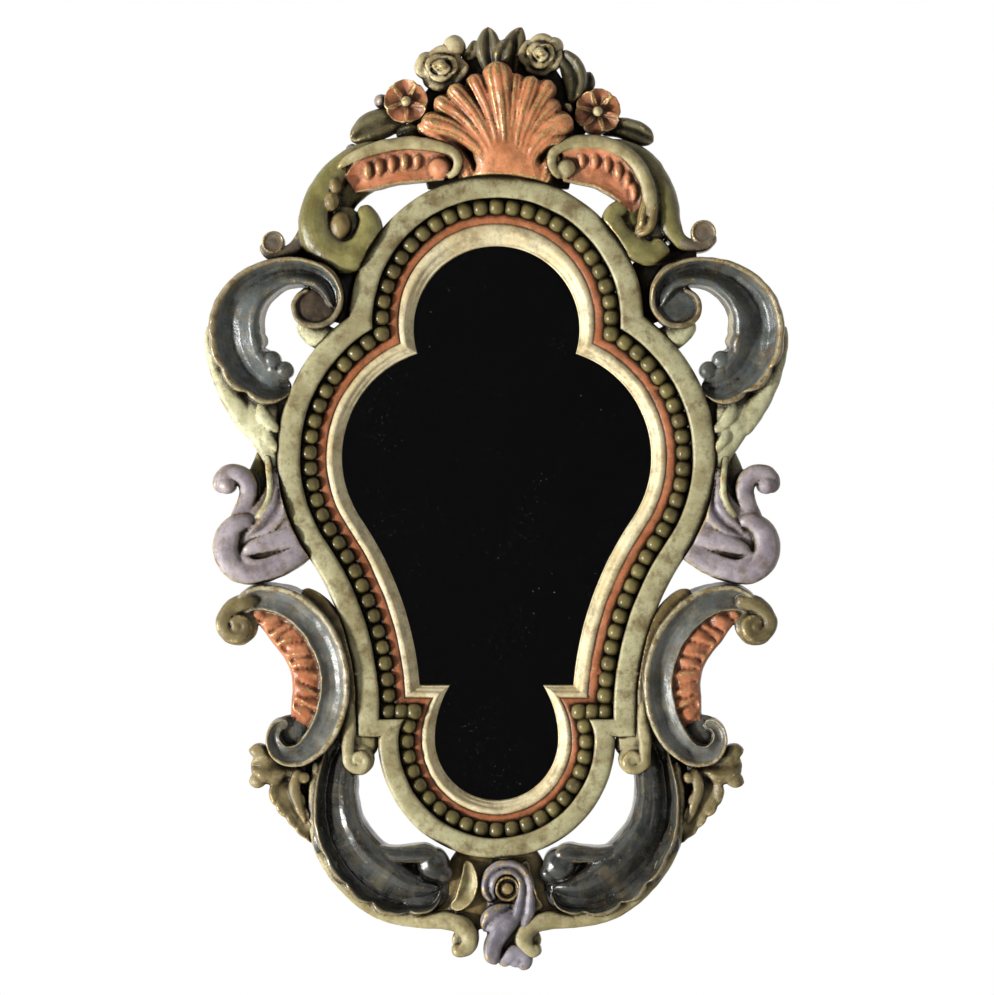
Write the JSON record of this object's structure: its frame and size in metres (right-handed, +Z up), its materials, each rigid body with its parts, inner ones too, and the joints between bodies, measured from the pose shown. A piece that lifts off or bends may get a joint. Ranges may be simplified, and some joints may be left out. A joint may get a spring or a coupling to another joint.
{
  "type": "carved wall mirror",
  "caption": "Upright wall mirror in a carved and painted scroll frame with a beaded moulding, shell and flower crest, pendant, back board on turn buttons and a hanging ring.",
  "frame": {"origin": "where the wall hook bears inside the hanging ring, on the wall plane", "axes": "+Z up along the mirror's height, +Y towards the wall (the glass faces -Y), +X to the right seen from the front"},
  "size_m": [0.3718, 0.038, 0.5996],
  "materials": {
    "painted_frame": "carved wood, sage green paint worn to gesso, dark patina",
    "bead_paint": "carved wood, dark olive paint, varnished",
    "gilt_liner": "carved wood, cream paint with rubbed gilding",
    "raw_wood": "bare old poplar",
    "terracotta_paint": "carved wood, terracotta paint, worn",
    "rose_paint": "carved wood, cream and rose paint, worn",
    "olive_paint": "carved wood, olive paint with gilt edges, worn",
    "blue_paint": "carved wood, blue-grey paint with gilt edges, worn",
    "lilac_paint": "carved wood, lilac paint with gilt edges, worn",
    "gilt_wood": "carved wood, rubbed gilding",
    "mirror_glass": "silvered plate glass, lightly foxed",
    "brass": "aged brass"
  },
  "bodies": {
    "frame": {"frame_top": "painted_frame", "frame_left": "painted_frame", "frame_right": "painted_frame", "frame_bottom": "painted_frame", "bead_row": "bead_paint", "sight_liner": "gilt_liner", "frame_dowels": "raw_wood", "back_board": "raw_wood", "crest_ground": "raw_wood", "crest_shell": "terracotta_paint", "blossom_left": "terracotta_paint", "blossom_right": "terracotta_paint", "rose_left": "rose_paint", "rose_right": "rose_paint", "crest_buds": "rose_paint", "crest_arm_right": "olive_paint", "crest_arm_left": "olive_paint", "crest_leaves": "olive_paint", "leaf_sprig_right": "olive_paint", "leaf_sprig_left": "olive_paint", "ring_volute_right": "olive_paint", "ring_volute_left": "olive_paint", "base_foot_right": "olive_paint", "base_foot_left": "olive_paint", "shoulder_scroll_right": "blue_paint", "shoulder_scroll_left": "blue_paint", "c_scroll_right": "blue_paint", "c_scroll_left": "blue_paint", "base_scroll_right": "blue_paint", "base_scroll_left": "blue_paint", "side_scroll_right": "lilac_paint", "side_scroll_left": "lilac_paint", "pendant": "lilac_paint", "pendant_boss": "gilt_wood", "mirror_glass": "mirror_glass", "hanger_strap": "brass", "hanger_screws": "brass", "button_screws": "brass"},
    "hanger_ring": {"hanger_ring": "brass"},
    "turn_button_1": {"turn_button_1": "brass"},
    "turn_button_2": {"turn_button_2": "brass"},
    "turn_button_3": {"turn_button_3": "brass"},
    "turn_button_4": {"turn_button_4": "brass"},
    "turn_button_5": {"turn_button_5": "brass"},
    "turn_button_6": {"turn_button_6": "brass"}
  },
  "joints": [
    {"name": "ring_swing", "type": "hinge", "parent": "frame", "child": "hanger_ring", "pos_m": [0, -0.00245, -0.01295], "axis": [-1, 0, 0], "range_deg": [-12, 120]},
    {"name": "button_1_turn", "type": "hinge", "parent": "frame", "child": "turn_button_1", "pos_m": [0.05752, -0.002, -0.06506], "axis": [0, -1, 0], "continuous": true},
    {"name": "button_2_turn", "type": "hinge", "parent": "frame", "child": "turn_button_2", "pos_m": [-0.05752, -0.002, -0.06506], "axis": [0, -1, 0], "continuous": true},
    {"name": "button_3_turn", "type": "hinge", "parent": "frame", "child": "turn_button_3", "pos_m": [0.1189, -0.002, -0.196], "axis": [0, -1, 0], "continuous": true},
    {"name": "button_4_turn", "type": "hinge", "parent": "frame", "child": "turn_button_4", "pos_m": [-0.1189, -0.002, -0.196], "axis": [0, -1, 0], "continuous": true},
    {"name": "button_5_turn", "type": "hinge", "parent": "frame", "child": "turn_button_5", "pos_m": [0.04423, -0.002, -0.41309], "axis": [0, -1, 0], "continuous": true},
    {"name": "button_6_turn", "type": "hinge", "parent": "frame", "child": "turn_button_6", "pos_m": [-0.04423, -0.002, -0.41309], "axis": [0, -1, 0], "continuous": true}
  ]
}
